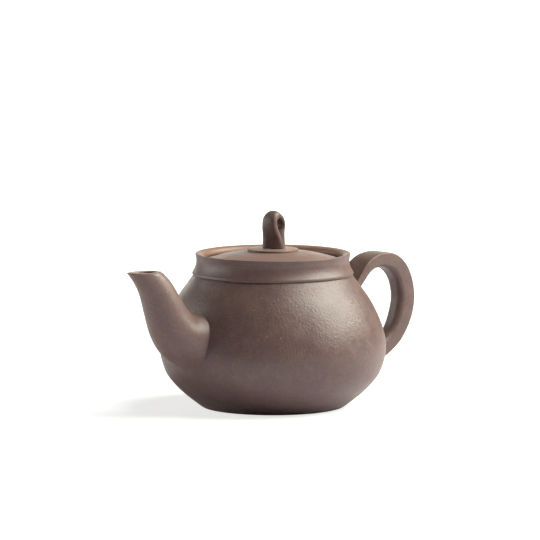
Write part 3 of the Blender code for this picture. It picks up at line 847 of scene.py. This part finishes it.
class TEAPOT_OT_knob(bpy.types.Operator):
    """Strap of clay bent into a loop with an eye, its far end pressed on to its own foot"""
    bl_idname = "teapot.knob"
    bl_label = "Knob"

    def execute(self, context):
        sizes = context.scene.teapot_sizes
        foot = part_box("knob")[0].z
        line = smooth_line(KNOB_SECTIONS, 6)
        level_first, level_last = 20, 26    # stations whose sections lie level, at either end
        ring_points = 32

        def section(station):
            """Points of the strap's section at that station of its line."""
            across, height, thickness, half, roundness, twist = line[station]
            run = line[min(station + 1, len(line) - 1)] - line[max(station - 1, 0)]
            way = Vector((run[1], 0, -run[0])).normalized()
            if station < level_first or station > len(line) - level_last:
                way = Vector((math.copysign(1, way.x), 0, 0))
            twisted = Matrix.Rotation(math.radians(twist), 3, "Z")
            ring = []
            for index in range(ring_points):
                out, aside = full_or_round(math.tau * index / ring_points, roundness)
                offset = way * out * thickness / 2 + Vector((0, aside * half, 0))
                ring.append((Vector((across, 0, height)) + twisted @ offset) * MM)
            return ring

        shell = swept(section, len(line), loop=False)
        turn = Matrix.Translation((0, 0, foot)) @ Matrix.Rotation(sizes.knob_turn, 4, "Z")
        bmesh.ops.transform(shell, matrix=turn, verts=shell.verts)
        loop = as_object("knob_loop", shell)

        # The strap's end and its foot become one piece of clay, and the seam is smoothed
        voxel, smoothing_passes = 0.16 * MM, 12
        fuse = loop.modifiers.new("fuse", "REMESH")
        fuse.mode = "VOXEL"
        fuse.voxel_size = voxel
        keep_modifiers(loop, 180)
        shell = bmesh.new()
        shell.from_mesh(loop.data)
        for _ in range(smoothing_passes):
            bmesh.ops.smooth_vert(shell, verts=shell.verts, factor=0.5, use_axis_x=True,
                                  use_axis_y=True, use_axis_z=True)
        for vert in shell.verts:
            vert.co.z = max(vert.co.z, foot)
        uneven(shell, sizes.unevenness, round_axis=False)
        shell.to_mesh(loop.data)
        shell.free()
        loop.data.shade_smooth()
        place_piece(loop, "knob", "lid", "stoneware_pulled")
        return {"FINISHED"}


# ---------------------------------------------------------------- stage

def seen_or_lit(tree, seen, lit):
    """A shader that the camera sees one way and that lights the pot another way."""
    rays = add_node(tree, "ShaderNodeLightPath")
    return add_node(tree, "ShaderNodeMixShader", {},
                    {0: rays.outputs["Is Camera Ray"], 1: lit, 2: seen}).outputs["Shader"]


def softbox(name, way, size, power, colour, aim, distance=1.0):
    """A lit panel of that width and height, at a distance from what it lights."""
    light = bpy.data.lights.new(name, "AREA")
    light.shape = "RECTANGLE"
    light.size, light.size_y = size
    light.energy = power
    light.color = colour
    box = bpy.data.objects.new(name, light)
    bpy.context.scene.collection.objects.link(box)
    way = Vector(way).normalized()
    box.location = aim + way * distance
    box.rotation_euler = way.to_track_quat("Z", "Y").to_euler()


class TEAPOT_OT_stage(bpy.types.Operator):
    """White table and surround, soft lights and the camera"""
    bl_idname = "teapot.stage"
    bl_label = "Stage"

    def execute(self, context):
        scene = context.scene
        scene.view_settings.view_transform = "Standard"
        self.table()
        self.surround(scene)

        turn, tilt, distance = math.radians(-40), math.radians(6.55), 2.114
        right = Vector((math.cos(turn), math.sin(turn), 0))
        nearer = Vector((math.sin(turn), -math.cos(turn), 0))
        up = Vector((0, 0, 1))
        aim = right * -1.23 * MM + up * 57.8 * MM
        camera_data = bpy.data.cameras.new("camera")
        camera_data.lens = 333.3
        camera_data.sensor_width = 36
        camera = bpy.data.objects.new("camera", camera_data)
        scene.collection.objects.link(camera)
        way = nearer * math.cos(tilt) + up * math.sin(tilt)
        camera.location = aim + way * distance
        camera.rotation_euler = way.to_track_quat("Z", "Y").to_euler()
        scene.camera = camera

        low, high = (Vector(corner) for corner in CAD_BOX)
        middle = (low + high) / 2
        softbox("key", right * 0.69 - nearer * 0.05 + up * 0.72, (0.95, 0.95), 26,
                (1.0, 1.04, 0.93), middle)
        softbox("side_fill", right * -0.97 - nearer * 0.14 + up * 0.14, (1.0, 0.8), 7,
                (1.0, 1.02, 0.95), middle)
        softbox("back_fill", nearer * -0.97 - right * 0.1 + up * 0.17, (0.9, 0.3), 2,
                (1.0, 1.0, 0.92), middle)
        return {"FINISHED"}

    def table(self):
        """A white table, wide enough to reach the surround in every view."""
        shell = bmesh.new()
        bmesh.ops.create_circle(shell, cap_ends=True, radius=8, segments=64)
        floor = as_object("table", shell)
        paper = bpy.data.materials.new("paper_matt_white")
        paper.use_nodes = True
        tree = paper.node_tree
        tree.nodes.clear()
        seen = add_node(tree, "ShaderNodeBsdfDiffuse", {"Color": (0.5, 0.5, 0.5, 1)})
        # The far table stays as white as the part under the lights, out to the surround
        place = add_node(tree, "ShaderNodeTexCoord")
        far = add_node(tree, "ShaderNodeVectorMath", {"operation": "LENGTH"},
                       {0: place.outputs["Object"]})
        strength = add_node(tree, "ShaderNodeMapRange",
                            {"interpolation_type": "SMOOTHSTEP", "From Min": 0.2, "From Max": 1.0,
                             "To Min": 0.7, "To Max": 1.05}, {"Value": far.outputs["Value"]})
        glow = add_node(tree, "ShaderNodeEmission", {"Color": (1, 1, 1, 1)},
                        {"Strength": strength.outputs["Result"]})
        bright = add_node(tree, "ShaderNodeAddShader", {},
                          {0: seen.outputs["BSDF"], 1: glow.outputs["Emission"]})
        lit = add_node(tree, "ShaderNodeBsdfDiffuse", {"Color": (0.72, 0.7, 0.77, 1)})
        surface = seen_or_lit(tree, bright.outputs["Shader"], lit.outputs["BSDF"])
        add_node(tree, "ShaderNodeOutputMaterial", {}, {"Surface": surface})
        floor.data.materials.append(paper)

    def surround(self, scene):
        """White behind the table, and a faint light from all sides."""
        world = bpy.data.worlds.new("white_surround")
        scene.world = world
        world.use_nodes = True
        tree = world.node_tree
        tree.nodes.clear()
        seen = add_node(tree, "ShaderNodeBackground", {"Color": (1, 1, 1, 1), "Strength": 1.1})
        lit = add_node(tree, "ShaderNodeBackground",
                       {"Color": (0.9, 0.95, 1.0, 1), "Strength": 0.03})
        surface = seen_or_lit(tree, seen.outputs["Background"], lit.outputs["Background"])
        add_node(tree, "ShaderNodeOutputWorld", {}, {"Surface": surface})


# ---------------------------------------------------------------- add-on

def length_property(name, description, default, low, high):
    """A length that a user can change, given in mm."""
    return bpy.props.FloatProperty(name=name, description=description, default=default * MM,
                                   min=low * MM, max=high * MM, subtype="DISTANCE",
                                   unit="LENGTH")


class TeapotSizes(bpy.types.PropertyGroup):
    wall: length_property("Wall", "Thickness of the pot's wall", 3.0, 1.5, 6)
    spout_wall: length_property("Spout wall", "Thickness of the spout's wall", 2.3, 1, 4)
    spout_opening: length_property(
        "Spout opening", "Radius of the opening behind the spout", 8.3, 4, 9)
    handle_edge: length_property(
        "Handle edge", "Rounding of the handle's outer edges", 0.5, 0.1, 1.5)
    air_hole: length_property("Air hole", "Radius of the hole in the lid", 1.0, 0.5, 2)
    unevenness: length_property(
        "Unevenness", "How far hand work strays from the true shape", 0.12, 0, 1)
    knob_turn: bpy.props.FloatProperty(
        name="Knob turn", description="Turn of the lid's knob in the mouth",
        default=math.radians(8), subtype="ANGLE", unit="ROTATION")
    facets: bpy.props.IntProperty(
        name="Facets", description="Steps round a turned piece", default=160, min=24, max=256)
    spout_facets: bpy.props.IntProperty(
        name="Spout facets", description="Steps round the spout", default=72, min=16, max=128)


def colour_property(name, description, hex_colour):
    """A colour that a user can change, with its default in sRGB hex."""
    return bpy.props.FloatVectorProperty(name=name, description=description, size=4, min=0, max=1,
                                         subtype="COLOR", default=linear(hex_colour))


class TeapotColours(bpy.types.PropertyGroup):
    ground: colour_property("Ground", "Main colour of the fired clay", "#705955")
    shade: colour_property("Shade", "Darker firing clouds", "#644e4c")
    lid_ground: colour_property("Lid", "Main colour of the lid", "#7b5f57")
    # Belly: darker than the neck's clay, painted shade on the belly
    belly_shaded_ground: colour_property("Belly", "Main colour of the belly", "#6a5450")
    # Handle and knob: darker than the belly, painted shade
    handle_shaded_ground: colour_property("Handle", "Main colour of the handle and knob", "#624d49")
    # Spout: paler than the belly, painted light on the spout
    spout_lit_ground: colour_property("Spout", "Main colour of the spout", "#78605b")
    mouth: colour_property("Mouth", "Redder clay inside the mouth", "#896352")
    warm: colour_property("Warm", "Warm, redder mottling", "#7a5d54")
    pale_grain: colour_property("Pale grain", "Pale grains in the clay", "#b08a6c")
    rusty_grain: colour_property("Rusty grain", "Rusty grains in the clay", "#9a634c")
    # Dark grains, and painted shade in the pinholes and in the groove under the collar
    dark_grain_and_shade: colour_property("Pinhole", "Pinholes and dark grains", "#33262a")
    rubbed_edge: colour_property("Rubbed edge", "Paler, warmer clay on the edges", "#8f6a58")
    sheen: colour_property("Sheen", "Tint of the soft gloss at a low angle", "#e8c8b4")


class TEAPOT_PT_panel(bpy.types.Panel):
    bl_label = "Clay teapot"
    bl_idname = "TEAPOT_PT_panel"
    bl_space_type = "VIEW_3D"
    bl_region_type = "UI"
    bl_category = "Teapot"

    def draw(self, context):
        for group in (context.scene.teapot_sizes, context.scene.teapot_colours):
            for key in group.__annotations__:
                self.layout.prop(group, key)
        for maker in MAKERS:
            self.layout.operator(maker.bl_idname)


MAKERS = (TEAPOT_OT_stage, TEAPOT_OT_belly, TEAPOT_OT_neck, TEAPOT_OT_spout, TEAPOT_OT_handle,
          TEAPOT_OT_lid, TEAPOT_OT_knob)
CLASSES = (TeapotSizes, TeapotColours, *MAKERS, TEAPOT_PT_panel)


def register():
    for item in CLASSES:
        bpy.utils.register_class(item)
    bpy.types.Scene.teapot_sizes = bpy.props.PointerProperty(type=TeapotSizes)
    bpy.types.Scene.teapot_colours = bpy.props.PointerProperty(type=TeapotColours)


def unregister():
    del bpy.types.Scene.teapot_colours
    del bpy.types.Scene.teapot_sizes
    for item in reversed(CLASSES):
        bpy.utils.unregister_class(item)


def main():
    register()
    bpy.ops.teapot.stage()
    bpy.ops.teapot.belly()
    bpy.ops.teapot.neck()
    bpy.ops.teapot.spout()
    bpy.ops.teapot.handle()
    bpy.ops.teapot.lid()
    bpy.ops.teapot.knob()


if __name__ == "__main__":
    main()
